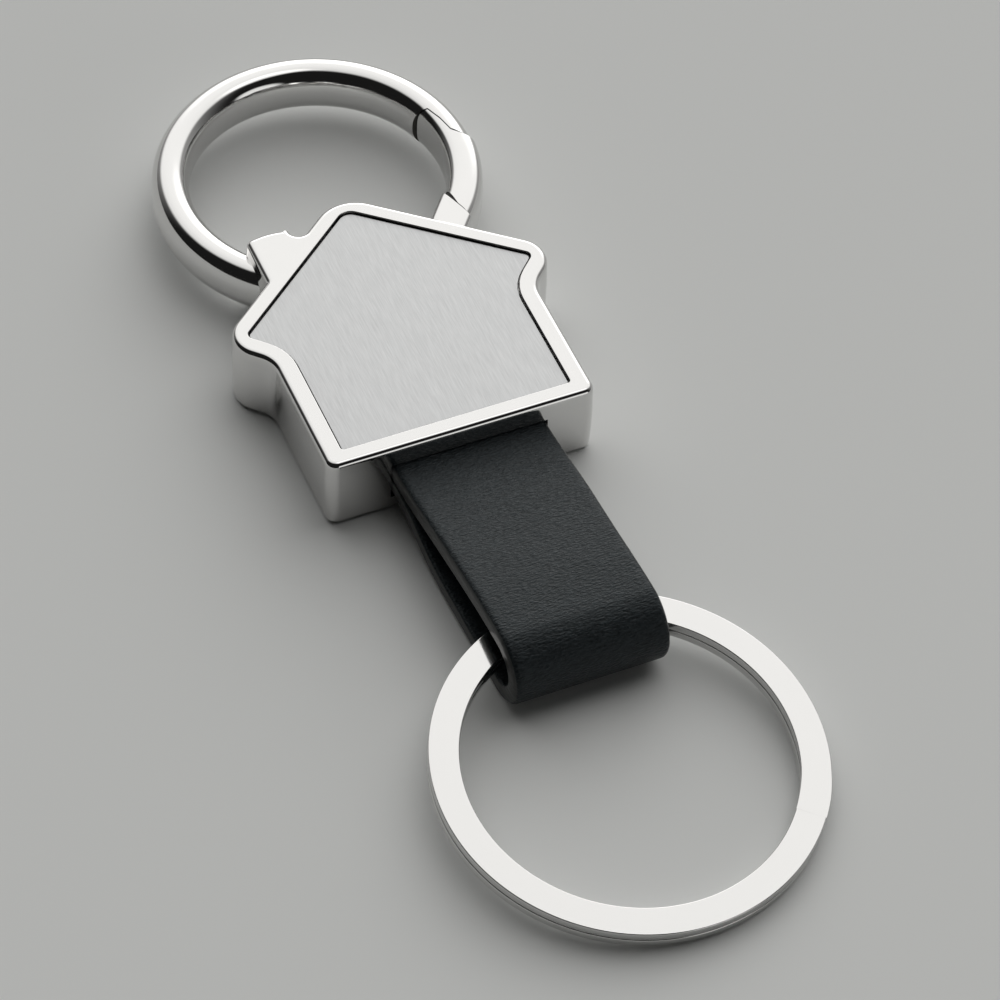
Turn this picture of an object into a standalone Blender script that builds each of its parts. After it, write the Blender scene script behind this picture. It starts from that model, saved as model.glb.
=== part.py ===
"""House-shaped key ring: a cast metal house with a spring gate ring, a leather strap and a split ring.

All sizes are in millimetres and become metres where the meshes are made. The house lies on its back:
X runs across it, Y from its floor to its roof, Z from its flat back up to its front plate. Y is counted
from the house's floor edge, and the assembly empty puts the world's origin in the middle of the house.
"""

import math

import bmesh
import bpy
from mathutils import Matrix, Vector

MM = 0.001
HOUSE_MIDDLE_Y = 12.0

# House casting
THICKNESS = 7.0
WALL_X = 11.2
WALL_TOP_Y = 12.0
EAVE = (14.5, 15.16)
ROOF_PEAK_Y = 26.91
ROOF_SLOPE = 0.81
EDGE_RADIUS = 0.5
CHIMNEY_LEFT_X = -8.62
CHIMNEY_RIGHT_X = -4.95
CHIMNEY_TOP_Y = 24.7

# Recess in the front, and what lies in it
RIM = 1.5
RECESS_Z = 5.78
RECESS_FLOOR_EDGE_Y = 1.43
RECESS_WALL_X = 9.62
RECESS_PEAK_Y = 25.08
ADHESIVE_Z = (5.81, 5.93)
PLATE_Z = (5.96, 6.78)
PLATE_GAP = 0.12
PLATE_BEVEL = 0.08
ADHESIVE_GAP = 0.2

# Ring above the roof, partly cast with the house and partly the hinged gate
RING_CENTRE = Vector((0.15, 31.45, 3.5))
RING_INNER = 10.4
RING_OUTER = 13.5
GATE_INNER = 10.65
GATE_OUTER = 13.62
GATE_SQUARENESS = 3.4
RING_HALF_HEIGHT = 2.15
RING_SQUARENESS = 2.4
ARM_END_DEG = 236.0
GATE_PIN = Vector((8.33, 23.2, 0.0))
GATE_OPENS_DEG = 15.0
GATE_GAP = 0.07
LATCH_GAP = Vector((-0.07, -0.12))
STUB_LINE_OUTER = Vector((9.75, 22.3))
STUB_LINE_INNER = Vector((8.8, 24.9))
STUB_FOOT = Vector((7.2, 20.8))
STUB_DIRECTION = Vector((1.39, 1.70))
STUB_HALF_WIDTH = 1.68
STUB_INWARD = 0.2
STUB_SQUARENESS = 5.0
BEYOND_STUB = Vector((16.5, 21.0))

# Gate hinge inside the stub
POCKET_RADIUS = 1.35
POCKET_Z = (2.25, 4.7)
TONGUE_RADIUS = 1.2
TONGUE_Z = (3.45, 4.6)
PIN_RADIUS = 0.5
PIN_BORE = 0.54
PIN_Z = (1.75, 5.0)
SPRING_COIL_RADIUS = 0.86
SPRING_WIRE_RADIUS = 0.11
SPRING_Z = (2.42, 3.25)
SPRING_TURNS = 3

# Strap, folded double through the split ring
STRAP_X = 0.4
STRAP_SKEW = -0.03
STRAP_WIDTH = 12.8
PLY = 1.62
SLOT_HALF_WIDTH = 6.75
SLOT_Z = (1.5, 5.3)
SLOT_DEPTH = 9.0
STRAP_ROOT_Y = (-0.2, 8.2)
FLEX_AXIS = Vector((0.4, -2.2, 3.4))
FOLD_CENTRE_Y = -19.4
FOLD_RADIUS = 3.5
STRAP_PIN_SIDES = (("left", STRAP_X - 3.6), ("right", STRAP_X + 3.6))
STRAP_PIN_Y = 5.2
STRAP_PIN_RADIUS = 0.8
STRAP_PIN_Z = (0.75, 5.5)

# Split ring, a flat wire wound twice
SPLIT_CENTRE = Vector((0.4, -31.03, 2.27))
SPLIT_TILT_X = 0.091
SPLIT_TILT_Y = 0.04
SPLIT_OUTER = 15.05
SPLIT_INNER = 12.72
SPLIT_WIRE = 0.74
SPLIT_GAP = 0.05
SPLIT_END_DEG = -39.0
SPLIT_RAMP_DEG = 34.0
SPLIT_STEP_DEG = 4.0
SPLIT_THINNEST = 0.1
SWING_AXIS = Vector((0.4, -18.3, 3.45))


def clear_scene():
    for old in list(bpy.data.objects):
        bpy.data.objects.remove(old, do_unlink=True)


def new_material(name, colour, roughness, metallic):
    material = bpy.data.materials.new(name)
    material.use_nodes = True
    shader = material.node_tree.nodes["Principled BSDF"]
    shader.inputs["Base Color"].default_value = (*colour, 1.0)
    shader.inputs["Roughness"].default_value = roughness
    shader.inputs["Metallic"].default_value = metallic
    material.diffuse_color = (*colour, 1.0)
    return material


def new_empty(name, location, parent=None):
    empty = bpy.data.objects.new(name, None)
    empty.empty_display_size = 5 * MM
    empty.location = Vector(location) * MM
    empty.parent = parent
    bpy.context.scene.collection.objects.link(empty)
    return empty


def object_from(mesh_builder, name, parent, pivot=(0, 0, 0), material=None):
    """An object from a bmesh in millimetres, whose origin is put at the pivot point."""
    bmesh.ops.recalc_face_normals(mesh_builder, faces=mesh_builder.faces)
    to_metres = Matrix.Scale(MM, 4) @ Matrix.Translation(-Vector(pivot))
    bmesh.ops.transform(mesh_builder, matrix=to_metres, verts=mesh_builder.verts)
    mesh = bpy.data.meshes.new(name)
    mesh_builder.to_mesh(mesh)
    mesh_builder.free()
    mesh.shade_smooth()
    mesh.set_sharp_from_angle(angle=math.radians(35))
    made = bpy.data.objects.new(name, mesh)
    made.parent = parent
    made.location = Vector(pivot) * MM
    if material:
        mesh.materials.append(material)
    bpy.context.scene.collection.objects.link(made)
    return made


def boolean(target, other, operation):
    """Adds an exact Boolean, and turns the other object into a hidden wire helper."""
    modifier = target.modifiers.new(f"{operation.lower()} {other.name}", "BOOLEAN")
    modifier.object = other
    modifier.operation = operation
    modifier.solver = "EXACT"
    other.hide_render = True
    other.display_type = "WIRE"


# --- Plan outlines -----------------------------------------------------------------------------------


def rounded_outline(corners, degrees_per_step=15.0):
    """Points and outward normals of a counterclockwise polygon whose corners are (x, y, radius)."""
    outline = []
    count = len(corners)
    for index, (x, y, radius) in enumerate(corners):
        corner = Vector((x, y))
        before = (Vector(corners[index - 1][:2]) - corner).normalized()
        after = (Vector(corners[(index + 1) % count][:2]) - corner).normalized()
        half_angle = before.angle(after) / 2
        bisector = (before + after).normalized()
        centre = corner + bisector * (radius / math.sin(half_angle))
        convex = (-before).cross(after) > 0
        normal_in = Vector((-before.y, before.x))
        normal_out = Vector((after.y, -after.x))
        turn = math.pi - 2 * half_angle
        steps = max(2, math.ceil(math.degrees(turn) / degrees_per_step))
        for step in range(steps + 1):
            angle = turn * step / steps * (1 if convex else -1)
            normal = Matrix.Rotation(angle, 2) @ normal_in
            outline.append((centre + normal * (radius if convex else -radius), normal))
        assert (outline[-1][1] - normal_out).length < 1e-4
    return outline


def mirrored(right_half):
    """A counterclockwise polygon from its right half, listed from the floor up to the ridge."""
    return right_half + [(-x, y, radius) for x, y, radius in reversed(right_half) if x > 0]


def house_corners():
    eave_left = (-EAVE[0], EAVE[1], 2.4)
    chimney_foot_y = ROOF_PEAK_Y + ROOF_SLOPE * CHIMNEY_RIGHT_X
    chimney_root_y = ROOF_PEAK_Y + ROOF_SLOPE * CHIMNEY_LEFT_X
    return [
        (WALL_X, 0.0, 0.9),
        (WALL_X, WALL_TOP_Y, 2.5),
        (*EAVE, 2.4),
        (0.0, ROOF_PEAK_Y, 3.5),
        (CHIMNEY_RIGHT_X, chimney_foot_y, 0.8),
        (CHIMNEY_RIGHT_X, CHIMNEY_TOP_Y, 0.6),
        ((CHIMNEY_LEFT_X + CHIMNEY_RIGHT_X) / 2, CHIMNEY_TOP_Y + 0.3, 6.0),
        (CHIMNEY_LEFT_X, CHIMNEY_TOP_Y, 0.52),
        (CHIMNEY_LEFT_X, chimney_root_y, 0.3),
        eave_left,
        (-WALL_X, WALL_TOP_Y, 2.5),
        (-WALL_X, 0.0, 0.9),
    ]


def recess_corners():
    eave_slope = (EAVE[1] - WALL_TOP_Y) / (EAVE[0] - WALL_X)
    normal = Vector((-eave_slope, 1.0)).normalized() * RIM
    under_eave = Vector((WALL_X, WALL_TOP_Y)) + normal
    wall_top_y = under_eave.y + eave_slope * (RECESS_WALL_X - under_eave.x)
    tip_x = (RECESS_PEAK_Y - under_eave.y + eave_slope * under_eave.x) / (eave_slope + ROOF_SLOPE)
    tip_y = RECESS_PEAK_Y - ROOF_SLOPE * tip_x
    return mirrored(
        [
            (RECESS_WALL_X, RECESS_FLOOR_EDGE_Y, 0.25),
            (RECESS_WALL_X, wall_top_y, 4.0),
            (tip_x, tip_y, 0.5),
            (0.0, RECESS_PEAK_Y, 1.2),
        ]
    )


def outline_solid(outline, levels):
    """A solid whose outline at each (height, inset) level is the given one, moved in along its normals."""
    builder = bmesh.new()
    loops = []
    for height, inset in levels:
        loops.append([builder.verts.new((*(point - normal * inset), height)) for point, normal in outline])
    bridge(builder, loops)
    return builder


def bridge(builder, loops):
    """Joins neighbouring loops of vertices with quads, and caps the two ends."""
    for lower, upper in zip(loops, loops[1:]):
        for index in range(len(lower)):
            after = (index + 1) % len(lower)
            builder.faces.new((lower[index], lower[after], upper[after], upper[index]))
    builder.faces.new(loops[0])
    builder.faces.new(loops[-1])


def prism(points, low, high):
    builder = bmesh.new()
    loops = [[builder.verts.new((x, y, height)) for x, y in points] for height in (low, high)]
    bridge(builder, loops)
    return builder


def cylinder(centre, radius, low, high, segments=24, chamfer=0.0):
    """A round bar along Z, with its ends chamfered if asked."""
    profile = [(low, radius), (high, radius)]
    if chamfer:
        tip = radius - chamfer
        profile = [(low, tip), (low + chamfer, radius), (high - chamfer, radius), (high, tip)]
    builder = bmesh.new()
    loops = []
    for height, level_radius in profile:
        loop = []
        for step in range(segments):
            angle = 2 * math.pi * step / segments
            x = centre[0] + level_radius * math.cos(angle)
            y = centre[1] + level_radius * math.sin(angle)
            loop.append(builder.verts.new((x, y, height)))
        loops.append(loop)
    bridge(builder, loops)
    return builder


# --- Ring section and gate lines ---------------------------------------------------------------------


def superellipse(half_width, half_height, squareness=RING_SQUARENESS, steps=24):
    """Points of the ring's softly squared section."""
    points = []
    for step in range(steps):
        angle = 2 * math.pi * (step + 0.5) / steps
        cosine, sine = math.cos(angle), math.sin(angle)
        points.append(
            (
                half_width * math.copysign(abs(cosine) ** (2 / squareness), cosine),
                half_height * math.copysign(abs(sine) ** (2 / squareness), sine),
            )
        )
    return points


def ring_arc(start_deg, end_deg, inner, outer, squareness=RING_SQUARENESS, degrees_per_step=6.0):
    """The ring's section swept round the ring's centre."""
    builder = bmesh.new()
    middle = (inner + outer) / 2
    section = superellipse((outer - inner) / 2, RING_HALF_HEIGHT, squareness)
    steps = math.ceil((end_deg - start_deg) / degrees_per_step)
    loops = []
    for step in range(steps + 1):
        angle = math.radians(start_deg + (end_deg - start_deg) * step / steps)
        outward = Vector((math.cos(angle), math.sin(angle), 0.0))
        loop = []
        for across, up in section:
            loop.append(builder.verts.new(RING_CENTRE + outward * (middle + across) + Vector((0, 0, up))))
        loops.append(loop)
    bridge(builder, loops)
    return builder


def stub_block():
    """The short straight stub that leaves the right roof towards the gate."""
    builder = bmesh.new()
    along = STUB_DIRECTION.normalized()
    across = Vector((along.y, -along.x))
    section = superellipse(STUB_HALF_WIDTH, RING_HALF_HEIGHT, STUB_SQUARENESS)
    loops = []
    for distance in (-2.0, 6.0):
        base = STUB_FOOT + along * distance
        loop = []
        for side, up in section:
            loop.append(builder.verts.new((*(base + across * (side - STUB_INWARD)), RING_CENTRE.z + up)))
        loops.append(loop)
    bridge(builder, loops)
    return builder


def ring_point(radius, degrees):
    angle = math.radians(degrees)
    return Vector((RING_CENTRE.x + radius * math.cos(angle), RING_CENTRE.y + radius * math.sin(angle)))


def latch_line():
    """Where the gate's tip meets the cast arm, from the ring's inside to its outside."""
    return [
        Vector((9.95, 34.8)),
        Vector((11.2, 34.5)),
        ring_point(11.7, 8.1),
        ring_point(11.92, 0.9),
        Vector((14.85, 28.85)),
    ]


def stub_side_region():
    """The plan area cleared of cast metal for the gate."""
    along = (STUB_LINE_INNER - STUB_LINE_OUTER).normalized()
    return [
        STUB_LINE_INNER + along * 2.5,
        STUB_LINE_OUTER - along * 3.0,
        BEYOND_STUB,
        *reversed(latch_line()),
    ]


def gate_region():
    """The gate's plan area: a gap inside the cleared one, cut back on the inner side so that it can turn."""
    along = (STUB_LINE_INNER - STUB_LINE_OUTER).normalized()
    towards_gate = Vector((along.y, -along.x))
    nearest = STUB_LINE_OUTER + along * (GATE_PIN.xy - STUB_LINE_OUTER).dot(along)
    hinge_line = nearest + towards_gate * GATE_GAP
    cut_back = Matrix.Rotation(-math.radians(GATE_OPENS_DEG + 0.6), 2) @ along
    latch = [point + LATCH_GAP for point in latch_line()]
    return [
        hinge_line + cut_back * 4.0,
        hinge_line,
        hinge_line - along * 4.2,
        BEYOND_STUB,
        *reversed(latch),
    ]


# --- Sub-parts ---------------------------------------------------------------------------------------


def make_house_body(parent, material):
    quarter = EDGE_RADIUS * (1 - math.cos(math.pi / 4))
    edge = [(0.0, EDGE_RADIUS), (quarter, quarter), (EDGE_RADIUS, 0.0)]
    levels = edge + [(THICKNESS - height, inset) for height, inset in reversed(edge)]
    body = object_from(
        outline_solid(rounded_outline(house_corners()), levels), "house_body", parent, material=material
    )
    arm = object_from(ring_arc(-20.0, ARM_END_DEG, RING_INNER, RING_OUTER), "cast_arm", parent)
    stub = object_from(stub_block(), "gate_stub", parent)
    clearing = object_from(prism(stub_side_region(), 0.0, THICKNESS), "gate_clearing", parent)
    boolean(arm, clearing, "DIFFERENCE")
    boolean(stub, clearing, "DIFFERENCE")
    boolean(body, arm, "UNION")
    boolean(body, stub, "UNION")

    recess_levels = [(RECESS_Z, 0.0), (THICKNESS + 1.0, 0.0)]
    recess = object_from(outline_solid(rounded_outline(recess_corners()), recess_levels), "recess", parent)
    slot = object_from(
        prism(
            [
                (STRAP_X - SLOT_HALF_WIDTH, -1.0),
                (STRAP_X + SLOT_HALF_WIDTH, -1.0),
                (STRAP_X + SLOT_HALF_WIDTH, SLOT_DEPTH),
                (STRAP_X - SLOT_HALF_WIDTH, SLOT_DEPTH),
            ],
            *SLOT_Z,
        ),
        "strap_slot",
        parent,
    )
    pocket = object_from(cylinder(GATE_PIN, POCKET_RADIUS, *POCKET_Z, segments=32), "hinge_pocket", parent)
    mouth = object_from(hinge_bar(1.9, 1.0, *POCKET_Z, turned=GATE_OPENS_DEG / 2), "hinge_mouth", parent)
    bore = object_from(cylinder(GATE_PIN, PIN_BORE, 0.5, PIN_Z[1] + 0.05), "gate_pin_bore", parent)
    boolean(pocket, mouth, "UNION")
    for cutter in (recess, slot, pocket, bore):
        boolean(body, cutter, "DIFFERENCE")
    for side, x in STRAP_PIN_SIDES:
        hole = object_from(
            cylinder((x, STRAP_PIN_Y), STRAP_PIN_RADIUS + 0.04, STRAP_PIN_Z[0] - 0.05, RECESS_Z + 0.5),
            f"strap_pin_hole_{side}",
            parent,
        )
        boolean(body, hole, "DIFFERENCE")
    return body


def hinge_bar(inner_width, outer_width, low, high, turned=0.0, length=3.0):
    """A straight bar from the gate pin towards the gate, so wide on the ring's inside and its outside."""
    along = Matrix.Rotation(math.radians(turned), 2) @ STUB_DIRECTION.normalized()
    across = Vector((along.y, -along.x))
    inner = GATE_PIN.xy - across * inner_width
    outer = GATE_PIN.xy + across * outer_width
    return prism([inner, outer, outer + along * length, inner + along * length], low, high)


def make_front_plate(parent, material):
    levels = [
        (PLATE_Z[0], PLATE_GAP),
        (PLATE_Z[1] - PLATE_BEVEL, PLATE_GAP),
        (PLATE_Z[1], PLATE_GAP + PLATE_BEVEL),
    ]
    return object_from(
        outline_solid(rounded_outline(recess_corners()), levels), "front_plate", parent, material=material
    )


def make_plate_adhesive(parent, material):
    levels = [(height, ADHESIVE_GAP) for height in ADHESIVE_Z]
    return object_from(
        outline_solid(rounded_outline(recess_corners()), levels), "plate_adhesive", parent, material=material
    )


def make_gate(parent, material):
    """The hinged part of the ring, with the eye that turns on the gate pin."""
    arc = ring_arc(-50.0, 24.0, GATE_INNER, GATE_OUTER, GATE_SQUARENESS, degrees_per_step=4.0)
    gate = object_from(arc, "gate", parent, GATE_PIN, material)
    region = object_from(prism(gate_region(), 0.0, THICKNESS), "gate_outline", parent)
    eye = object_from(cylinder(GATE_PIN, TONGUE_RADIUS, *TONGUE_Z, segments=28), "gate_eye", parent)
    neck = object_from(hinge_bar(0.7, 0.7, *TONGUE_Z, length=2.3), "gate_neck", parent)
    bore = object_from(cylinder(GATE_PIN, PIN_BORE, 1.0, 6.0), "gate_eye_bore", parent)
    boolean(gate, region, "INTERSECT")
    boolean(eye, neck, "UNION")
    boolean(gate, eye, "UNION")
    boolean(gate, bore, "DIFFERENCE")
    return gate


def make_gate_pin(parent, material):
    bar = cylinder(GATE_PIN, PIN_RADIUS, *PIN_Z, chamfer=0.1)
    return object_from(bar, "gate_pin", parent, GATE_PIN, material)


def tube_along(points, radius, sides=6):
    """A round wire through a smooth run of points, with flat ends."""
    builder = bmesh.new()
    loops = []
    count = len(points)
    for index, point in enumerate(points):
        direction = (points[min(index + 1, count - 1)] - points[max(index - 1, 0)]).normalized()
        side = direction.cross(Vector((0, 0, 1))).normalized()
        up = side.cross(direction)
        loop = []
        for step in range(sides):
            angle = 2 * math.pi * step / sides
            loop.append(builder.verts.new(point + (side * math.cos(angle) + up * math.sin(angle)) * radius))
        loops.append(loop)
    bridge(builder, loops)
    return builder


def make_gate_spring(parent, material):
    """A torsion spring round the gate pin, below the eye."""
    steps_per_turn = 14
    total = SPRING_TURNS * steps_per_turn
    low, high = SPRING_Z[0] + SPRING_WIRE_RADIUS, SPRING_Z[1] - SPRING_WIRE_RADIUS
    points = []
    for step in range(total + 1):
        angle = 2 * math.pi * step / steps_per_turn
        outward = Vector((math.cos(angle), math.sin(angle), 0.0))
        height = low + (high - low) * step / total
        points.append(GATE_PIN + outward * SPRING_COIL_RADIUS + Vector((0, 0, height)))
    return object_from(tube_along(points, SPRING_WIRE_RADIUS), "gate_spring", parent, GATE_PIN, material)


def strap_skew(y):
    """How far the strap's middle has wandered sideways at this distance from the house."""
    return STRAP_SKEW * min(y, 0.0)


def strap_solid(section, half_width=STRAP_WIDTH / 2):
    """A solid from a closed (y, z) section, drawn across the strap's width."""
    builder = bmesh.new()
    loops = []
    for side in (-half_width, half_width):
        loops.append([builder.verts.new((STRAP_X + strap_skew(y) + side, y, z)) for y, z in section])
    bridge(builder, loops)
    return builder


def arc_points(centre_y, centre_z, radius, start_deg, end_deg, steps):
    points = []
    for step in range(steps + 1):
        angle = math.radians(start_deg + (end_deg - start_deg) * step / steps)
        points.append((centre_y + radius * math.cos(angle), centre_z + radius * math.sin(angle)))
    return points


def make_strap_root(parent, material):
    """The strap's two ends, pressed together inside the slot and held by the two strap pins."""
    low, high = FLEX_AXIS.z - PLY, FLEX_AXIS.z + PLY
    mouth, inside = STRAP_ROOT_Y
    bevel = 0.25
    section = [
        (mouth, low + bevel),
        (mouth + bevel, low),
        (inside - bevel, low),
        (inside, low + bevel),
        (inside, high - bevel),
        (inside - bevel, high),
        (mouth + bevel, high),
        (mouth, high - bevel),
    ]
    root = object_from(strap_solid(section), "strap_root", parent, material=material)
    for side, x in STRAP_PIN_SIDES:
        hole = object_from(
            cylinder((x, STRAP_PIN_Y), STRAP_PIN_RADIUS + 0.05, 0.0, THICKNESS), f"strap_hole_{side}", parent
        )
        boolean(root, hole, "DIFFERENCE")
    return root


def make_strap_loop(parent, material):
    """The strap outside the house: its two plies part and run round the split ring."""
    half = PLY + 0.02
    upper_outer = [(-4.0, 5.3), (-7.5, 5.8), (-11.0, 6.35), (-13.0, 6.6), (-15.0, 6.88), (-17.0, 6.97)]
    lower_outer = [(-17.0, 0.02), (-12.0, 0.05), (-8.5, 0.1), (-6.0, 0.55), (-4.0, 1.2)]
    root_end = arc_points(FLEX_AXIS.y, FLEX_AXIS.z, half, -90.0, 90.0, 10)
    fold = arc_points(FOLD_CENTRE_Y, FOLD_RADIUS + 0.01, FOLD_RADIUS, 90.0, 270.0, 16)
    outer = root_end + upper_outer + fold + lower_outer

    inner_fold = arc_points(FOLD_CENTRE_Y, FOLD_RADIUS + 0.01, FOLD_RADIUS - PLY, 90.0, 270.0, 12)
    upper_inner = [(-7.0, 3.95), (-11.0, 4.72), (-15.0, 5.24)]
    lower_inner = [(-12.0, 1.67), (-8.3, 1.75), (-6.2, 2.5)]
    inner = [(-4.9, 3.4)] + upper_inner + inner_fold + lower_inner

    loop = object_from(strap_solid(outer), "strap_loop", parent, FLEX_AXIS, material)
    hollow = object_from(strap_solid(inner, STRAP_WIDTH / 2 + 1), "strap_hollow", parent)
    boolean(loop, hollow, "DIFFERENCE")
    return loop


def make_strap_pin(parent, material, side, x):
    return object_from(
        cylinder((x, STRAP_PIN_Y), STRAP_PIN_RADIUS, *STRAP_PIN_Z, segments=20, chamfer=0.15),
        f"strap_pin_{side}",
        parent,
        (x, STRAP_PIN_Y, 0.0),
        material,
    )


def smooth_step(value):
    value = min(max(value, 0.0), 1.0)
    return value * value * (3 - 2 * value)


def ring_section(bottom, top):
    """The flat wire's section between two heights, with its corners taken off."""
    half_width = (SPLIT_OUTER - SPLIT_INNER) / 2
    corner = min(0.12, 0.3 * (top - bottom))
    return [
        (half_width, bottom + corner),
        (half_width, top - corner),
        (half_width - corner, top),
        (-half_width + corner, top),
        (-half_width, top - corner),
        (-half_width, bottom + corner),
        (-half_width + corner, bottom),
        (half_width - corner, bottom),
    ]


def make_split_ring(parent, material):
    """Two turns of flat wire. A ramp carries the lower turn up, and the upper end thins out over it."""
    builder = bmesh.new()
    pitch = SPLIT_WIRE + SPLIT_GAP
    ramp_start = 360.0 - SPLIT_RAMP_DEG

    def level(travelled):
        return pitch * smooth_step((travelled - ramp_start) / (SPLIT_RAMP_DEG - 1.0))

    tilt = Matrix.Rotation(SPLIT_TILT_X, 3, "X") @ Matrix.Rotation(SPLIT_TILT_Y, 3, "Y")
    loops = []
    travelled = 0.0
    while True:
        bottom = level(travelled)
        top = bottom + SPLIT_WIRE
        if travelled > ramp_start + 360.0:
            bottom = level(travelled - 360.0) + pitch
        if top - bottom < SPLIT_THINNEST:
            break
        angle = math.radians(SPLIT_END_DEG - travelled)
        outward = Vector((math.cos(angle), math.sin(angle), 0.0))
        middle = outward * (SPLIT_OUTER + SPLIT_INNER) / 2 - Vector((0, 0, SPLIT_WIRE + SPLIT_GAP / 2))
        loop = []
        for across, height in ring_section(bottom, top):
            flat = middle + outward * across + Vector((0, 0, height))
            loop.append(builder.verts.new(SPLIT_CENTRE + tilt @ flat))
        loops.append(loop)
        travelled += SPLIT_STEP_DEG
    bridge(builder, loops)
    return object_from(builder, "split_ring", parent, SWING_AXIS, material)


def main():
    clear_scene()
    polished = new_material("polished_zinc", (0.86, 0.86, 0.85), 0.12, 1.0)
    brushed = new_material("brushed_steel", (0.62, 0.63, 0.64), 0.35, 1.0)
    leather = new_material("black_leather", (0.045, 0.05, 0.055), 0.5, 0.0)
    glue = new_material("adhesive_film", (0.75, 0.73, 0.68), 0.7, 0.0)
    steel = new_material("spring_steel", (0.7, 0.7, 0.7), 0.3, 1.0)
    ring_steel = new_material("ring_steel", (0.86, 0.86, 0.85), 0.12, 1.0)

    assembly = new_empty("key_ring", (0.0, -HOUSE_MIDDLE_Y, 0.0))
    make_house_body(assembly, polished)
    make_front_plate(assembly, brushed)
    make_plate_adhesive(assembly, glue)
    make_gate(assembly, polished)
    make_gate_pin(assembly, steel)
    make_gate_spring(assembly, steel)
    make_strap_root(assembly, leather)
    make_strap_loop(assembly, leather)
    for side, x in STRAP_PIN_SIDES:
        make_strap_pin(assembly, steel, side, x)
    make_split_ring(assembly, ring_steel)


main()
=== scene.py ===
"""Looks of the house key ring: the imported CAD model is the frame, and finer pieces stand on it.

Shapes are drawn in millimetres, with Y counted from the house's floor edge as in the design, and become
metres in the frame when their meshes are made.
"""

import math

import bmesh
import bpy
from mathutils import Matrix, Vector


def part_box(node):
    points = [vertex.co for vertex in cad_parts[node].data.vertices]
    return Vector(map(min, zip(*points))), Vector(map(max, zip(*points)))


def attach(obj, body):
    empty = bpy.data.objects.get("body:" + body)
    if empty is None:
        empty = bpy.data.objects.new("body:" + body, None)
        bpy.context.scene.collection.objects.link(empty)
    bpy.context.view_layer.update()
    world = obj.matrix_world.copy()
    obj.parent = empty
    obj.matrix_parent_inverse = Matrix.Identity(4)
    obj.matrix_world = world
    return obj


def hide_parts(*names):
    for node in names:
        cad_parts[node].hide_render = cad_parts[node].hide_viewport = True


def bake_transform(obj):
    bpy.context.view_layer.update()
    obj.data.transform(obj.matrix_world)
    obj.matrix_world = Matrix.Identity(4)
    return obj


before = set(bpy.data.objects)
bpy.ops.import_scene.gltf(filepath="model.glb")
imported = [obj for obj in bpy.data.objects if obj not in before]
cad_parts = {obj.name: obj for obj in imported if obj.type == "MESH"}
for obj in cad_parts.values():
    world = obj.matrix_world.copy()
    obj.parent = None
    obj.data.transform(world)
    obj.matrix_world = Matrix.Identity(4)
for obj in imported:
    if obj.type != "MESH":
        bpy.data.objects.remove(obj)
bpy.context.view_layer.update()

MM = 0.001
FLOOR_EDGE_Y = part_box("house_body")[0].y

# House
THICKNESS = 7.0
WALL_X = 11.2
WALL_TOP_Y = 12.0
EAVE = (14.5, 15.16)
ROOF_PEAK_Y = 26.91
ROOF_SLOPE = 0.81
EDGE_RADIUS = 0.5
WALL_BULGE = 0.08
WALL_STEPS = 10
CHIMNEY_LEFT_X = -8.62
CHIMNEY_RIGHT_X = -4.95
CHIMNEY_TOP_Y = 24.7
RIM = 1.5
RECESS_Z = 5.78
RECESS_FLOOR_EDGE_Y = 1.43
RECESS_WALL_X = 9.62
RECESS_PEAK_Y = 25.08
RECESS_EDGE = 0.06
RECESS_STEP_DEG = 10.0
PLATE_Z = (5.96, 6.78)
PLATE_GAP = 0.12
PLATE_BEVEL = 0.07

# Gate ring
RING_CENTRE = Vector((0.15, 31.45, 3.5))
RING_INNER = 10.4
RING_OUTER = 13.5
GATE_INNER = 10.65
GATE_OUTER = 13.62
GATE_SQUARENESS = 3.4
RING_HALF_HEIGHT = 2.15
RING_SQUARENESS = 2.4
ARM_END_DEG = 236.0
GATE_PIN = Vector((8.33, 23.2, 0.0))
GATE_OPENS_DEG = 15.0
GATE_GAP = 0.07
LATCH_GAP = Vector((-0.07, -0.12))
STUB_LINE_OUTER = Vector((9.75, 22.3))
STUB_LINE_INNER = Vector((8.8, 24.9))
STUB_FOOT = Vector((7.2, 20.8))
STUB_DIRECTION = Vector((1.39, 1.70))
STUB_HALF_WIDTH = 1.68
STUB_INWARD = 0.2
STUB_SQUARENESS = 5.0
STUB_START = -2.0
STUB_STEP = 0.5
STUB_STEPS = 17
BEYOND_STUB = Vector((16.5, 21.0))
POCKET_RADIUS = 1.35
POCKET_Z = (2.25, 4.7)
TONGUE_RADIUS = 1.2
TONGUE_Z = (3.45, 4.6)
PIN_BORE = 0.54
PIN_TOP_Z = 5.05

# Strap
STRAP_X = 0.4
STRAP_SKEW = -0.03
STRAP_WIDTH = 12.8
STRAP_WIDER = 0.25
PLY = 1.58
SLOT_X = (-6.02, 7.06)
SLOT_Z = (1.5, 5.08)
SLOT_DEPTH = 9.0
SLOT_EDGE = 0.05
STRAP_MID_Z = 3.4
STRAP_MID_GAP = 0.03
STRAP_OUTER_ROUND = 0.55
STRAP_INNER_ROUND = 0.3
STRAP_SPACING = 0.22
SIDE_FACING = 0.72
FOLD_CENTRE_Y = -19.4
FOLD_CENTRE_Z = 3.45
FOLD_RADIUS = 3.5
FOLD_RADIUS_UP = 3.43

# Split ring
SPLIT_CENTRE = Vector((0.4, -31.03, 2.27))
SPLIT_TILT_X = 0.091
SPLIT_TILT_Y = 0.04
SPLIT_OUTER = 15.05
SPLIT_INNER = 12.72
SPLIT_WIRE = 0.76
SPLIT_GAP = 0.03
SPLIT_END_DEG = -39.0
SPLIT_RAMP_DEG = 34.0
SPLIT_THINNEST = 0.03


# --- Mesh helpers ------------------------------------------------------------------------------------


def to_frame(point):
    return Vector((point[0] * MM, point[1] * MM + FLOOR_EDGE_Y, point[2] * MM))


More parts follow.
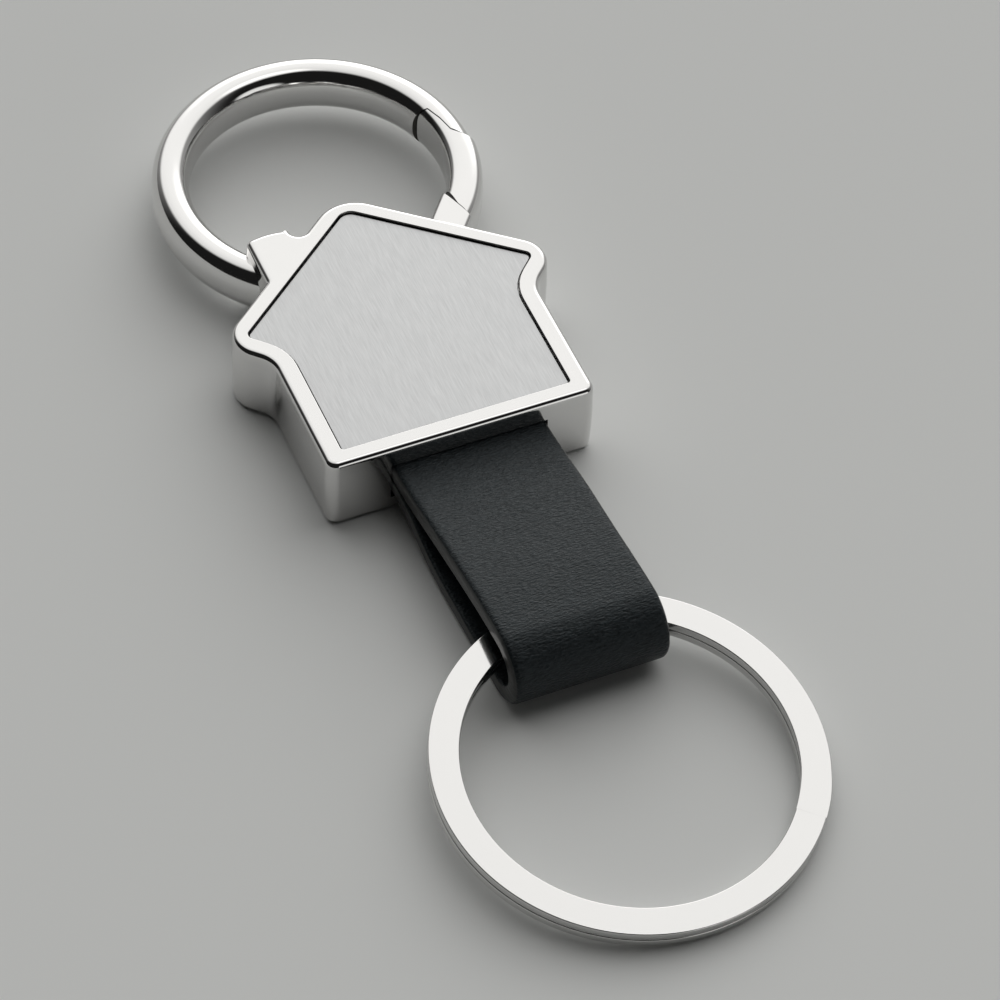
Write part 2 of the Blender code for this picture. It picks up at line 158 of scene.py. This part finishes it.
def object_from(builder, name):
    bmesh.ops.recalc_face_normals(builder, faces=builder.faces)
    for vertex in builder.verts:
        vertex.co = to_frame(vertex.co)
    mesh = bpy.data.meshes.new(name)
    builder.to_mesh(mesh)
    builder.free()
    made = bpy.data.objects.new(name, mesh)
    bpy.context.scene.collection.objects.link(made)
    return made


def bridge(builder, loops, closed=False):
    pairs = list(zip(loops, loops[1:]))
    if closed:
        pairs.append((loops[-1], loops[0]))
    faces = []
    for lower, upper in pairs:
        for index in range(len(lower)):
            after = (index + 1) % len(lower)
            faces.append(builder.faces.new((lower[index], lower[after], upper[after], upper[index])))
    if not closed:
        builder.faces.new(loops[0])
        builder.faces.new(loops[-1])
    return faces


def boolean(target, other, operation):
    """Applies one exact Boolean to the target and removes the other object."""
    modifier = target.modifiers.new("cut", "BOOLEAN")
    modifier.object = other
    modifier.operation = operation
    modifier.solver = "EXACT"
    modifier.material_mode = "TRANSFER"
    apply_modifiers(target)
    bpy.data.objects.remove(other)


def apply_modifiers(target):
    graph = bpy.context.evaluated_depsgraph_get()
    old = target.data
    target.data = bpy.data.meshes.new_from_object(target.evaluated_get(graph))
    target.data.name = target.name
    target.modifiers.clear()
    bpy.data.meshes.remove(old)


def smooth_faces(target, sharp_deg=30.0):
    """Smooth shading whose flat faces stay flat: normals are weighted by the area of the faces."""
    mesh = target.data
    mesh.shade_smooth()
    mesh.set_sharp_from_angle(angle=math.radians(sharp_deg))
    weighted = target.modifiers.new("weighted normals", "WEIGHTED_NORMAL")
    weighted.keep_sharp = True
    weighted.weight = 100


def rounded_outline(corners, step_deg=5.0):
    """Points and outward normals of a counterclockwise polygon whose corners are (x, y, radius)."""
    outline = []
    count = len(corners)
    for index, (x, y, radius) in enumerate(corners):
        corner = Vector((x, y))
        before = (Vector(corners[index - 1][:2]) - corner).normalized()
        after = (Vector(corners[(index + 1) % count][:2]) - corner).normalized()
        half_angle = before.angle(after) / 2
        centre = corner + (before + after).normalized() * (radius / math.sin(half_angle))
        convex = (-before).cross(after) > 0
        normal_in = Vector((-before.y, before.x))
        turn = math.pi - 2 * half_angle
        steps = max(4, math.ceil(math.degrees(turn) / step_deg))
        for step in range(steps + 1):
            normal = Matrix.Rotation(turn * step / steps * (1 if convex else -1), 2) @ normal_in
            outline.append((centre + normal * (radius if convex else -radius), normal))
    return outline


def outline_solid(outline, levels):
    """A solid whose outline at each (height, inset) level is the given one moved in along its normals."""
    builder = bmesh.new()
    loops = []
    for height, inset in levels:
        loops.append([builder.verts.new((*(point - normal * inset), height)) for point, normal in outline])
    bridge(builder, loops)
    return builder


def prism(points, low, high):
    builder = bmesh.new()
    bridge(builder, [[builder.verts.new((x, y, height)) for x, y in points] for height in (low, high)])
    return builder


def cylinder(centre, radius, low, high, segments=64):
    builder = bmesh.new()
    loops = []
    for height in (low, high):
        loop = []
        for step in range(segments):
            angle = 2 * math.pi * step / segments
            x = centre[0] + radius * math.cos(angle)
            y = centre[1] + radius * math.sin(angle)
            loop.append(builder.verts.new((x, y, height)))
        loops.append(loop)
    bridge(builder, loops)
    return builder


def superellipse(half_width, half_height, squareness=RING_SQUARENESS, steps=72):
    points = []
    for step in range(steps):
        angle = 2 * math.pi * (step + 0.5) / steps
        cosine, sine = math.cos(angle), math.sin(angle)
        across = half_width * math.copysign(abs(cosine) ** (2 / squareness), cosine)
        up = half_height * math.copysign(abs(sine) ** (2 / squareness), sine)
        points.append((across, up))
    return points


def ring_arc(start_deg, end_deg, inner, outer, squareness=RING_SQUARENESS, step_deg=2.0):
    builder = bmesh.new()
    section = superellipse((outer - inner) / 2, RING_HALF_HEIGHT, squareness)
    steps = math.ceil((end_deg - start_deg) / step_deg)
    loops = []
    for step in range(steps + 1):
        angle = math.radians(start_deg + (end_deg - start_deg) * step / steps)
        outward = Vector((math.cos(angle), math.sin(angle), 0.0))
        loop = []
        for across, up in section:
            middle = RING_CENTRE + outward * ((inner + outer) / 2 + across)
            loop.append(builder.verts.new(middle + Vector((0, 0, up))))
        loops.append(loop)
    bridge(builder, loops)
    return builder


def quarter_round(radius, steps):
    """(height, inset) pairs of a quarter-round edge, from its flat face to its wall."""
    pairs = []
    for step in range(steps + 1):
        angle = math.pi / 2 * step / steps
        pairs.append((radius * (1 - math.cos(angle)), radius * (1 - math.sin(angle))))
    return pairs


def wear(piece, *materials):
    """Gives the piece these materials and no others."""
    piece.data.materials.clear()
    for material in materials:
        piece.data.materials.append(material)


def smooth_step(value):
    value = min(max(value, 0.0), 1.0)
    return value * value * (3 - 2 * value)


# --- House -------------------------------------------------------------------------------------------


def house_corners():
    return [
        (WALL_X, 0.0, 0.9),
        (WALL_X, WALL_TOP_Y, 2.5),
        (*EAVE, 2.4),
        (0.0, ROOF_PEAK_Y, 3.5),
        (CHIMNEY_RIGHT_X, ROOF_PEAK_Y + ROOF_SLOPE * CHIMNEY_RIGHT_X, 0.8),
        (CHIMNEY_RIGHT_X, CHIMNEY_TOP_Y, 0.6),
        ((CHIMNEY_LEFT_X + CHIMNEY_RIGHT_X) / 2, CHIMNEY_TOP_Y + 0.3, 6.0),
        (CHIMNEY_LEFT_X, CHIMNEY_TOP_Y, 0.52),
        (CHIMNEY_LEFT_X, ROOF_PEAK_Y + ROOF_SLOPE * CHIMNEY_LEFT_X, 0.3),
        (-EAVE[0], EAVE[1], 2.4),
        (-WALL_X, WALL_TOP_Y, 2.5),
        (-WALL_X, 0.0, 0.9),
    ]


def recess_corners():
    eave_slope = (EAVE[1] - WALL_TOP_Y) / (EAVE[0] - WALL_X)
    under_eave = Vector((WALL_X, WALL_TOP_Y)) + Vector((-eave_slope, 1.0)).normalized() * RIM
    wall_top_y = under_eave.y + eave_slope * (RECESS_WALL_X - under_eave.x)
    tip_x = (RECESS_PEAK_Y - under_eave.y + eave_slope * under_eave.x) / (eave_slope + ROOF_SLOPE)
    right = [
        (RECESS_WALL_X, RECESS_FLOOR_EDGE_Y, 0.25),
        (RECESS_WALL_X, wall_top_y, 4.0),
        (tip_x, RECESS_PEAK_Y - ROOF_SLOPE * tip_x, 0.5),
        (0.0, RECESS_PEAK_Y, 1.2),
    ]
    return right + [(-x, y, radius) for x, y, radius in reversed(right) if x > 0]


def ring_point(radius, degrees):
    angle = math.radians(degrees)
    return Vector((RING_CENTRE.x + radius * math.cos(angle), RING_CENTRE.y + radius * math.sin(angle)))


def latch_line():
    """Where the gate's tip meets the cast arm, from the ring's inside to its outside."""
    return [
        Vector((9.95, 34.8)),
        Vector((11.2, 34.5)),
        ring_point(11.7, 8.1),
        ring_point(11.92, 0.9),
        Vector((14.85, 28.85)),
    ]


def stub_side_region():
    along = (STUB_LINE_INNER - STUB_LINE_OUTER).normalized()
    return [
        STUB_LINE_INNER + along * 2.5,
        STUB_LINE_OUTER - along * 3.0,
        BEYOND_STUB,
        *reversed(latch_line()),
    ]


def gate_region():
    along = (STUB_LINE_INNER - STUB_LINE_OUTER).normalized()
    nearest = STUB_LINE_OUTER + along * (GATE_PIN.xy - STUB_LINE_OUTER).dot(along)
    hinge_line = nearest + Vector((along.y, -along.x)) * GATE_GAP
    cut_back = Matrix.Rotation(-math.radians(GATE_OPENS_DEG + 0.6), 2) @ along
    latch = [point + LATCH_GAP for point in latch_line()]
    return [hinge_line + cut_back * 4.0, hinge_line, hinge_line - along * 4.2, BEYOND_STUB, *reversed(latch)]


def hinge_bar(inner_width, outer_width, low, high, turned=0.0, length=3.0):
    along = Matrix.Rotation(math.radians(turned), 2) @ STUB_DIRECTION.normalized()
    across = Vector((along.y, -along.x))
    inner = GATE_PIN.xy - across * inner_width
    outer = GATE_PIN.xy + across * outer_width
    return prism([inner, outer, outer + along * length, inner + along * length], low, high)


def stub_block():
    builder = bmesh.new()
    along = STUB_DIRECTION.normalized()
    across = Vector((along.y, -along.x))
    loops = []
    for step in range(STUB_STEPS):
        base = STUB_FOOT + along * (step * STUB_STEP + STUB_START)
        loop = []
        for side, up in superellipse(STUB_HALF_WIDTH, RING_HALF_HEIGHT, STUB_SQUARENESS):
            loop.append(builder.verts.new((*(base + across * (side - STUB_INWARD)), RING_CENTRE.z + up)))
        loops.append(loop)
    bridge(builder, loops)
    return builder


def recess_cutter():
    """The recess, flared at the top so that the rim's inner edge is a little rounded."""
    levels = [(RECESS_Z, 0.0), (THICKNESS - RECESS_EDGE, 0.0)]
    for height, inset in reversed(quarter_round(RECESS_EDGE, 4)):
        levels.append((THICKNESS - height, -inset))
    levels.append((THICKNESS + 0.5, -RECESS_EDGE))
    return outline_solid(rounded_outline(recess_corners(), RECESS_STEP_DEG), levels)


def slot_cutter():
    """The strap's slot, with a rounded mouth in the floor wall."""
    builder = bmesh.new()
    loops = []
    steps = [(SLOT_DEPTH, 0.0), (SLOT_EDGE, 0.0)]
    for depth, grow in reversed(quarter_round(SLOT_EDGE, 4)):
        steps.append((depth, grow))
    steps.append((-0.6, SLOT_EDGE))
    for y, grow in steps:
        left, right = SLOT_X[0] - grow, SLOT_X[1] + grow
        low, high = SLOT_Z[0] - grow, SLOT_Z[1] + grow
        corners = ((left, y, low), (right, y, low), (right, y, high), (left, y, high))
        loops.append([builder.verts.new(corner) for corner in corners])
    bridge(builder, loops)
    return builder


def make_house(metal, gap_shade_paint):
    edge = quarter_round(EDGE_RADIUS, 8)
    levels = list(edge)
    wall = THICKNESS - 2 * EDGE_RADIUS
    for step in range(1, WALL_STEPS):
        share = step / WALL_STEPS
        levels.append((EDGE_RADIUS + wall * share, -WALL_BULGE * math.sin(math.pi * share)))
    levels += [(THICKNESS - height, inset) for height, inset in reversed(edge)]
    house = object_from(outline_solid(rounded_outline(house_corners()), levels), "house_casting")
    wear(house, metal)
    arm = object_from(ring_arc(-20.0, ARM_END_DEG, RING_INNER, RING_OUTER), "arm")
    stub = object_from(stub_block(), "stub")
    for piece in (arm, stub):
        wear(piece, metal)
        # The faces left by this cut take the dark material that paints the gap shade.
        clearing = object_from(prism(stub_side_region(), 0.0, THICKNESS), "clearing")
        wear(clearing, gap_shade_paint)
        boolean(piece, clearing, "DIFFERENCE")
    boolean(house, arm, "UNION")
    boolean(house, stub, "UNION")
    pocket = object_from(cylinder(GATE_PIN, POCKET_RADIUS, *POCKET_Z), "pocket")
    mouth = object_from(hinge_bar(1.9, 1.0, *POCKET_Z, turned=GATE_OPENS_DEG / 2), "mouth")
    boolean(pocket, mouth, "UNION")
    boolean(house, pocket, "DIFFERENCE")
    boolean(house, object_from(cylinder(GATE_PIN, PIN_BORE, 0.5, PIN_TOP_Z), "bore"), "DIFFERENCE")
    boolean(house, object_from(recess_cutter(), "recess"), "DIFFERENCE")
    boolean(house, object_from(slot_cutter(), "slot"), "DIFFERENCE")
    smooth_faces(house)
    return house


def make_gate(metal, gap_shade_paint):
    gate = object_from(ring_arc(-50.0, 24.0, GATE_INNER, GATE_OUTER, GATE_SQUARENESS), "spring_gate")
    wear(gate, metal)
    # The faces left by this cut take the dark material that paints the gap shade.
    region = object_from(prism(gate_region(), 0.0, THICKNESS), "region")
    wear(region, gap_shade_paint)
    boolean(gate, region, "INTERSECT")
    eye = object_from(cylinder(GATE_PIN, TONGUE_RADIUS, *TONGUE_Z), "eye")
    boolean(eye, object_from(hinge_bar(0.7, 0.7, *TONGUE_Z, length=2.3), "neck"), "UNION")
    boolean(gate, eye, "UNION")
    boolean(gate, object_from(cylinder(GATE_PIN, PIN_BORE, 1.0, 6.0), "bore"), "DIFFERENCE")
    smooth_faces(gate)
    return gate


def make_plate():
    levels = [(PLATE_Z[0], PLATE_GAP)]
    for height, inset in reversed(quarter_round(PLATE_BEVEL, 3)):
        levels.append((PLATE_Z[1] - height, PLATE_GAP + inset))
    outline = rounded_outline(recess_corners(), RECESS_STEP_DEG)
    plate = object_from(outline_solid(outline, levels), "brushed_plate")
    smooth_faces(plate)
    return plate


# --- Strap -------------------------------------------------------------------------------------------


def strap_route():
    """The strap's outer face seen from the side, as (y, z), from the lower ply's end to the upper one's."""
    low = STRAP_MID_Z - PLY - STRAP_MID_GAP
    high = STRAP_MID_Z + PLY + STRAP_MID_GAP
    lower = [(8.0, low), (4.0, low), (0.5, low), (-1.2, low - 0.05), (-3.2, 1.42), (-5.4, 0.7)]
    lower += [(-7.6, 0.24), (-9.8, 0.07), (-12.5, 0.04), (-15.0, 0.02), (-17.4, 0.02)]
    upper = [(-17.0, 6.82), (-15.0, 6.7), (-13.0, 6.5), (-11.0, 6.26), (-7.5, 5.8), (-4.0, 5.3)]
    upper += [(-1.5, 5.06), (0.5, high), (4.0, high), (8.0, high)]
    fold = []
    for step in range(13):
        angle = math.radians(270.0 - 15.0 * step)
        z = FOLD_CENTRE_Z + FOLD_RADIUS_UP * math.sin(angle)
        fold.append((FOLD_CENTRE_Y + FOLD_RADIUS * math.cos(angle), z))
    return [Vector(point) for point in lower + fold + upper]


def smooth_run(points, spacing):
    """Evenly spaced points of a Catmull-Rom curve through the given points."""
    dense = []
    for index in range(len(points) - 1):
        p0 = points[max(index - 1, 0)]
        p1, p2 = points[index], points[index + 1]
        p3 = points[min(index + 2, len(points) - 1)]
        for step in range(16):
            t = step / 16
            a = 2 * p1 + (p2 - p0) * t + (2 * p0 - 5 * p1 + 4 * p2 - p3) * t * t
            dense.append((a + (3 * p1 - 3 * p2 + p3 - p0) * t**3) / 2)
    dense.append(points[-1])
    run = [dense[0]]
    carried = 0.0
    for start, end in zip(dense, dense[1:]):
        length = (end - start).length
        while carried + length >= spacing:
            start = start.lerp(end, (spacing - carried) / length)
            run.append(start)
            length = (end - start).length
            carried = 0.0
        carried += length
    return run


def strap_section():
    """The strap's section, as (across, depth below the outer face)."""
    half = STRAP_WIDTH / 2
    outer, inner = STRAP_OUTER_ROUND, STRAP_INNER_ROUND
    points = []
    outer_steps, inner_steps = 40, 20
    for step in range(outer_steps + 1):
        points.append((-half + outer + (STRAP_WIDTH - 2 * outer) * step / outer_steps, 0.0))
    for step in range(1, 7):
        angle = math.pi / 2 * step / 6
        points.append((half - outer * (1 - math.sin(angle)), outer * (1 - math.cos(angle))))
    for step in range(1, 6):
        angle = math.pi / 2 * step / 5
        points.append((half - inner * (1 - math.cos(angle)), PLY - inner * (1 - math.sin(angle))))
    left_side = [(-across, depth) for across, depth in reversed(points[outer_steps + 1 :])]
    for step in range(1, inner_steps):
        points.append((half - inner - (STRAP_WIDTH - 2 * inner) * step / inner_steps, PLY))
    return points + left_side


def make_strap():
    run = smooth_run(strap_route(), STRAP_SPACING)
    section = strap_section()
    builder = bmesh.new()
    loops = []
    count = len(run)
    for index, point in enumerate(run):
        tangent = (run[min(index + 2, count - 1)] - run[max(index - 2, 0)]).normalized()
        normal = Vector((-tangent.y, tangent.x))
        loop = []
        for across, depth in section:
            spot = point - normal * depth
            skew = STRAP_SKEW * min(spot.x, 0.0)
            if across > 0.0:
                skew += STRAP_WIDER * smooth_step((spot.x + 15.0) / 10.0) * across / (STRAP_WIDTH / 2)
            loop.append(builder.verts.new((STRAP_X + skew + across, spot.x, spot.y)))
        loops.append(loop)
    bridge(builder, loops)
    strap = object_from(builder, "leather_strap")
    strap.data.shade_smooth()
    return strap


# --- Split ring --------------------------------------------------------------------------------------


def wire_section(bottom, top):
    """The flat wire's section between two heights, with rounded corners."""
    half_width = (SPLIT_OUTER - SPLIT_INNER) / 2
    corner = min(0.1, 0.35 * (top - bottom))
    points = []
    for side, up in ((1, 1), (-1, 1), (-1, -1), (1, -1)):
        height = top - corner if up > 0 else bottom + corner
        for step in range(5):
            angle = math.pi / 2 * step / 4
            if side * up < 0:
                angle = math.pi / 2 - angle
            across = side * (half_width - corner + corner * math.cos(angle))
            points.append((across, height + up * corner * math.sin(angle)))
    return points


def make_split_ring():
    builder = bmesh.new()
    pitch = SPLIT_WIRE + SPLIT_GAP
    ramp_start = 360.0 - SPLIT_RAMP_DEG

    def level(travelled):
        return pitch * smooth_step((travelled - ramp_start) / (SPLIT_RAMP_DEG - 1.0))

    tilt = Matrix.Rotation(SPLIT_TILT_X, 3, "X") @ Matrix.Rotation(SPLIT_TILT_Y, 3, "Y")
    loops = []
    travelled = 0.0
    while travelled <= 720.0:
        bottom = level(travelled)
        top = bottom + SPLIT_WIRE
        if travelled > ramp_start + 360.0:
            bottom = min(level(travelled - 360.0) + pitch, top - SPLIT_THINNEST)
        angle = math.radians(SPLIT_END_DEG - travelled)
        outward = Vector((math.cos(angle), math.sin(angle), 0.0))
        middle = outward * (SPLIT_OUTER + SPLIT_INNER) / 2 - Vector((0, 0, SPLIT_WIRE + SPLIT_GAP / 2))
        loop = []
        for across, height in wire_section(bottom, top):
            point = middle + outward * across + Vector((0, 0, height))
            loop.append(builder.verts.new(SPLIT_CENTRE + tilt @ point))
        loops.append(loop)
        travelled += 1.5
    bridge(builder, loops)
    ring = object_from(builder, "split_ring_coil")
    smooth_faces(ring)
    return ring


# --- Materials ---------------------------------------------------------------------------------------


class Material:
    """A Principled material with short calls for its nodes. Textures are read in object space, in metres."""

    def __init__(self, name, colour, roughness, metallic=0.0):
        self.material = bpy.data.materials.new(name)
        self.material.use_nodes = True
        self.nodes = self.material.node_tree.nodes
        self.links = self.material.node_tree.links
        self.shader = self.nodes["Principled BSDF"]
        self.set("Base Color", (*colour, 1.0))
        self.set("Roughness", roughness)
        self.set("Metallic", metallic)
        self.place = self.nodes.new("ShaderNodeTexCoord").outputs["Object"]
        self.material.diffuse_color = (*colour, 1.0)

    def set(self, socket, value):
        self.shader.inputs[socket].default_value = value

    def join(self, output, socket):
        """Links an output to one of the shader's sockets."""
        self.links.new(output, self.shader.inputs[socket])

    def scaled(self, scale):
        node = self.nodes.new("ShaderNodeMapping")
        node.inputs["Scale"].default_value = scale
        self.links.new(self.place, node.inputs["Vector"])
        return node.outputs["Vector"]

    def noise(self, vector, detail=3.0, roughness=0.5, distortion=0.0):
        node = self.nodes.new("ShaderNodeTexNoise")
        node.inputs["Scale"].default_value = 1.0
        node.inputs["Detail"].default_value = detail
        node.inputs["Roughness"].default_value = roughness
        node.inputs["Distortion"].default_value = distortion
        self.links.new(vector, node.inputs["Vector"])
        return node.outputs["Fac"]

    def pebbles(self, vector):
        node = self.nodes.new("ShaderNodeTexVoronoi")
        node.feature = "SMOOTH_F1"
        node.inputs["Scale"].default_value = 1.0
        self.links.new(vector, node.inputs["Vector"])
        return node.outputs["Distance"]

    def ramp(self, value, low, high, low_value, high_value):
        node = self.nodes.new("ShaderNodeMapRange")
        node.inputs["From Min"].default_value = low
        node.inputs["From Max"].default_value = high
        node.inputs["To Min"].default_value = low_value
        node.inputs["To Max"].default_value = high_value
        self.links.new(value, node.inputs["Value"])
        return node.outputs["Result"]

    def mix(self, factor, first, second):
        node = self.nodes.new("ShaderNodeMix")
        node.data_type = "RGBA"
        node.inputs["A"].default_value = (*first, 1.0)
        node.inputs["B"].default_value = (*second, 1.0)
        self.links.new(factor, node.inputs["Factor"])
        return node.outputs["Result"]

    def math(self, operation, first, second):
        node = self.nodes.new("ShaderNodeMath")
        node.operation = operation
        for socket, value in zip(node.inputs, (first, second)):
            if isinstance(value, (int, float)):
                socket.default_value = value
            else:
                self.links.new(value, socket)
        return node.outputs["Value"]

    def bump(self, height, distance, strength=1.0):
        node = self.nodes.new("ShaderNodeBump")
        node.inputs["Strength"].default_value = strength
        node.inputs["Distance"].default_value = distance
        self.links.new(height, node.inputs["Height"])
        self.join(node.outputs["Normal"], "Normal")


def plated_metal(name, colour, roughness, waviness):
    """Mirror plating: faint waves of the casting below it, and a slightly uneven polish."""
    metal = Material(name, colour, roughness, metallic=1.0)
    waves = metal.noise(metal.scaled((260.0, 260.0, 340.0)), detail=1.5)
    metal.bump(waves, waviness)
    haze = metal.noise(metal.scaled((900.0, 900.0, 900.0)), detail=4.0)
    metal.join(metal.ramp(haze, 0.3, 0.7, roughness * 0.7, roughness * 1.4), "Roughness")
    return metal.material


def painted_gap_shade():
    """Painted shade: dark, rough metal on the faces where the gate meets the arm and the stub, standing in
    for the shade in those gaps.
    """
    metal = Material("painted_gap_shade_look", (0.07, 0.068, 0.06), 0.5, metallic=1.0)
    grain = metal.noise(metal.scaled((2600.0, 2600.0, 2600.0)), detail=4.0)
    metal.join(metal.mix(grain, (0.04, 0.039, 0.035), (0.1, 0.097, 0.09)), "Base Color")
    metal.bump(grain, 0.00003, 0.6)
    return metal.material


def brushed_metal():
    """Brushed plate: fine scratches along Y, some of them deeper."""
    metal = Material("brushed_steel_look", (0.455, 0.458, 0.461), 0.36, metallic=1.0)
    fine = metal.noise(metal.scaled((16000.0, 600.0, 400.0)), detail=3.0, roughness=0.6)
    broad = metal.noise(metal.scaled((5000.0, 250.0, 100.0)), detail=2.0)
    lines = metal.math("ADD", fine, metal.math("MULTIPLY", broad, 0.4))
    tone = metal.mix(metal.ramp(fine, 0.3, 0.7, 0.0, 1.0), (0.412, 0.416, 0.419), (0.494, 0.498, 0.501))
    metal.join(tone, "Base Color")
    metal.join(metal.ramp(broad, 0.3, 0.7, 0.33, 0.4), "Roughness")
    metal.bump(lines, 0.000004, 0.6)
    return metal.material


def grained_leather():
    """Black leather: fine pebbles drawn out across the strap, with small creases between them."""
    leather = Material("black_leather_look", (0.03, 0.035, 0.04), 0.45)
    pebbles = leather.pebbles(leather.scaled((3400.0, 6200.0, 6200.0)))
    across = leather.scaled((2000.0, 6600.0, 6600.0))
    creases = leather.noise(across, detail=3.0, roughness=0.55, distortion=0.4)
    soft = leather.noise(leather.scaled((300.0, 500.0, 500.0)), detail=2.0)
    height = leather.math("ADD", leather.math("MULTIPLY", pebbles, -0.5), creases)
    height = leather.math("ADD", height, leather.math("MULTIPLY", soft, 0.7))
    share = leather.ramp(creases, 0.35, 0.65, 0.0, 1.0)
    tone = leather.mix(share, (0.0048, 0.0065, 0.0074), (0.0165, 0.0218, 0.0246))
    leather.join(tone, "Base Color")
    leather.join(leather.ramp(pebbles, 0.0, 0.8, 0.27, 0.45), "Roughness")
    leather.set("Specular IOR Level", 0.27)
    leather.set("Specular Tint", (0.88, 0.96, 1.0, 1.0))
    leather.bump(height, 0.00009, 1.0)
    return leather.material


def edge_paint():
    paint = Material("strap_edge_look", (0.02, 0.022, 0.022), 0.38)
    grain = paint.noise(paint.scaled((1200.0, 700.0, 3000.0)), detail=3.0)
    paint.join(paint.mix(grain, (0.012, 0.013, 0.013), (0.04, 0.043, 0.042)), "Base Color")
    paint.bump(grain, 0.00008, 0.6)
    return paint.material


def adhesive_film():
    film = Material("adhesive_film_look", (0.75, 0.73, 0.68), 0.7)
    blotches = film.noise(film.scaled((600.0, 600.0, 600.0)))
    film.join(film.mix(blotches, (0.68, 0.66, 0.6), (0.8, 0.78, 0.74)), "Base Color")
    film.bump(blotches, 0.00003)
    return film.material


def drawn_steel():
    steel = Material("drawn_steel_look", (0.62, 0.62, 0.63), 0.3, metallic=1.0)
    lines = steel.noise(steel.scaled((2500.0, 2500.0, 300.0)), detail=3.0)
    steel.join(steel.ramp(lines, 0.3, 0.7, 0.22, 0.42), "Roughness")
    steel.bump(lines, 0.00001)
    return steel.material


def mark_cut_edges(strap):
    """The strap's sides take the edge paint, its second material."""
    for polygon in strap.data.polygons:
        if abs(polygon.normal.x) > SIDE_FACING:
            polygon.material_index = 1


# --- Stage, light and camera -------------------------------------------------------------------------

# Each light is a patch of the world: its direction, its strength, and where it starts and is full, as the
# cosine of the angle from that direction.
WINDOW = ((0.274, 0.582, 0.766), 0.9, (0.6, 0.82))
KEY = ((0.5, 0.82, 0.25), 1.25, (0.85, 1.0))
OVERHEAD = ((0.274, -0.02, 0.96), 0.6, (0.95, 0.99))
NEAR_CARD = ((0.4, -0.9, 0.12), 1.0, (0.93, 0.98))
FAR_GLOW = ((0.6, 0.8, 0.05), 0.36, (-0.1, 0.9))
ROOM_DARK = 0.012
ROOM_COLOUR = (1.0, 0.995, 0.98, 1.0)
FLOOR_SIZE = 2.0
CAMERA_PLACE = (-94.217, -207.033, 269.442)
CAMERA_RIGHT = Vector((0.91995, -0.39068, 0.03257))
CAMERA_UP = Vector((0.28021, 0.71336, 0.64233))
SENSOR_WIDTH = 36.0
LENS = 162.0
CLIP_START = 0.01


def pale_floor():
    builder = bmesh.new()
    bmesh.ops.create_grid(builder, x_segments=2, y_segments=2, size=FLOOR_SIZE)
    mesh = bpy.data.meshes.new("floor")
    builder.to_mesh(mesh)
    builder.free()
    floor = bpy.data.objects.new("floor", mesh)
    bpy.context.scene.collection.objects.link(floor)
    paper = Material("floor_look", (0.78, 0.79, 0.78), 0.8)
    wear(floor, paper.material)


def studio_world():
    """A soft window beyond the key ring, smaller lights round it, and a room dark on the near side."""
    world = bpy.data.worlds.new("studio")
    bpy.context.scene.world = world
    world.use_nodes = True
    nodes, links = world.node_tree.nodes, world.node_tree.links
    place = nodes.new("ShaderNodeTexCoord")

    def towards(direction, low, high):
        """How far the looked-at direction is turned towards this one, faded from 0 at low to 1 at high."""
        dot = nodes.new("ShaderNodeVectorMath")
        dot.operation = "DOT_PRODUCT"
        dot.inputs[1].default_value = Vector(direction).normalized()
        links.new(place.outputs["Generated"], dot.inputs[0])
        fade = nodes.new("ShaderNodeMapRange")
        fade.interpolation_type = "SMOOTHSTEP"
        fade.inputs["From Min"].default_value = low
        fade.inputs["From Max"].default_value = high
        links.new(dot.outputs["Value"], fade.inputs["Value"])
        return fade.outputs["Result"]

    total = None
    for direction, strength, fade in (FAR_GLOW, WINDOW, KEY, OVERHEAD, NEAR_CARD):
        node = nodes.new("ShaderNodeMath")
        node.operation = "MULTIPLY_ADD"
        links.new(towards(direction, *fade), node.inputs[0])
        node.inputs[1].default_value = strength
        node.inputs[2].default_value = ROOM_DARK
        if total is not None:
            links.new(total, node.inputs[2])
        total = node.outputs["Value"]
    background = nodes["Background"]
    background.inputs["Color"].default_value = ROOM_COLOUR
    links.new(total, background.inputs["Strength"])


def make_camera():
    data = bpy.data.cameras.new("camera")
    data.sensor_width = SENSOR_WIDTH
    data.lens = LENS
    data.clip_start = CLIP_START
    camera = bpy.data.objects.new("camera", data)
    right = CAMERA_RIGHT.normalized()
    back = right.cross(CAMERA_UP.normalized()).normalized()
    turn = Matrix((right, back.cross(right), back)).transposed()
    camera.matrix_world = Matrix.Translation(to_frame(CAMERA_PLACE)) @ turn.to_4x4()
    bpy.context.scene.collection.objects.link(camera)
    bpy.context.scene.camera = camera


def main():
    zinc = plated_metal("polished_zinc_look", (0.705, 0.7, 0.692), 0.085, 0.00003)
    wire = plated_metal("ring_steel_look", (0.715, 0.71, 0.702), 0.1, 0.00001)
    # Dark material that paints the shade in the gaps at the hinge and the latch.
    gap_shade_paint = painted_gap_shade()
    steel = drawn_steel()

    house = make_house(zinc, gap_shade_paint)
    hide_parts("house_body")
    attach(house, "house")

    plate = make_plate()
    wear(plate, brushed_metal())
    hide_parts("front_plate")
    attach(plate, "house")

    gate = make_gate(zinc, gap_shade_paint)
    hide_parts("gate")
    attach(gate, "gate")

    strap = make_strap()
    wear(strap, grained_leather(), edge_paint())
    mark_cut_edges(strap)
    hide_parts("strap_root", "strap_loop")
    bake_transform(strap)

    ring = make_split_ring()
    wear(ring, wire)
    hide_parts("split_ring")
    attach(ring, "split_ring")

    for name in ("gate_pin", "gate_spring", "strap_pin_left", "strap_pin_right"):
        wear(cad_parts[name], steel)
    wear(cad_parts["plate_adhesive"], adhesive_film())

    pale_floor()
    studio_world()
    make_camera()
    bpy.context.scene.view_settings.view_transform = "Standard"


main()
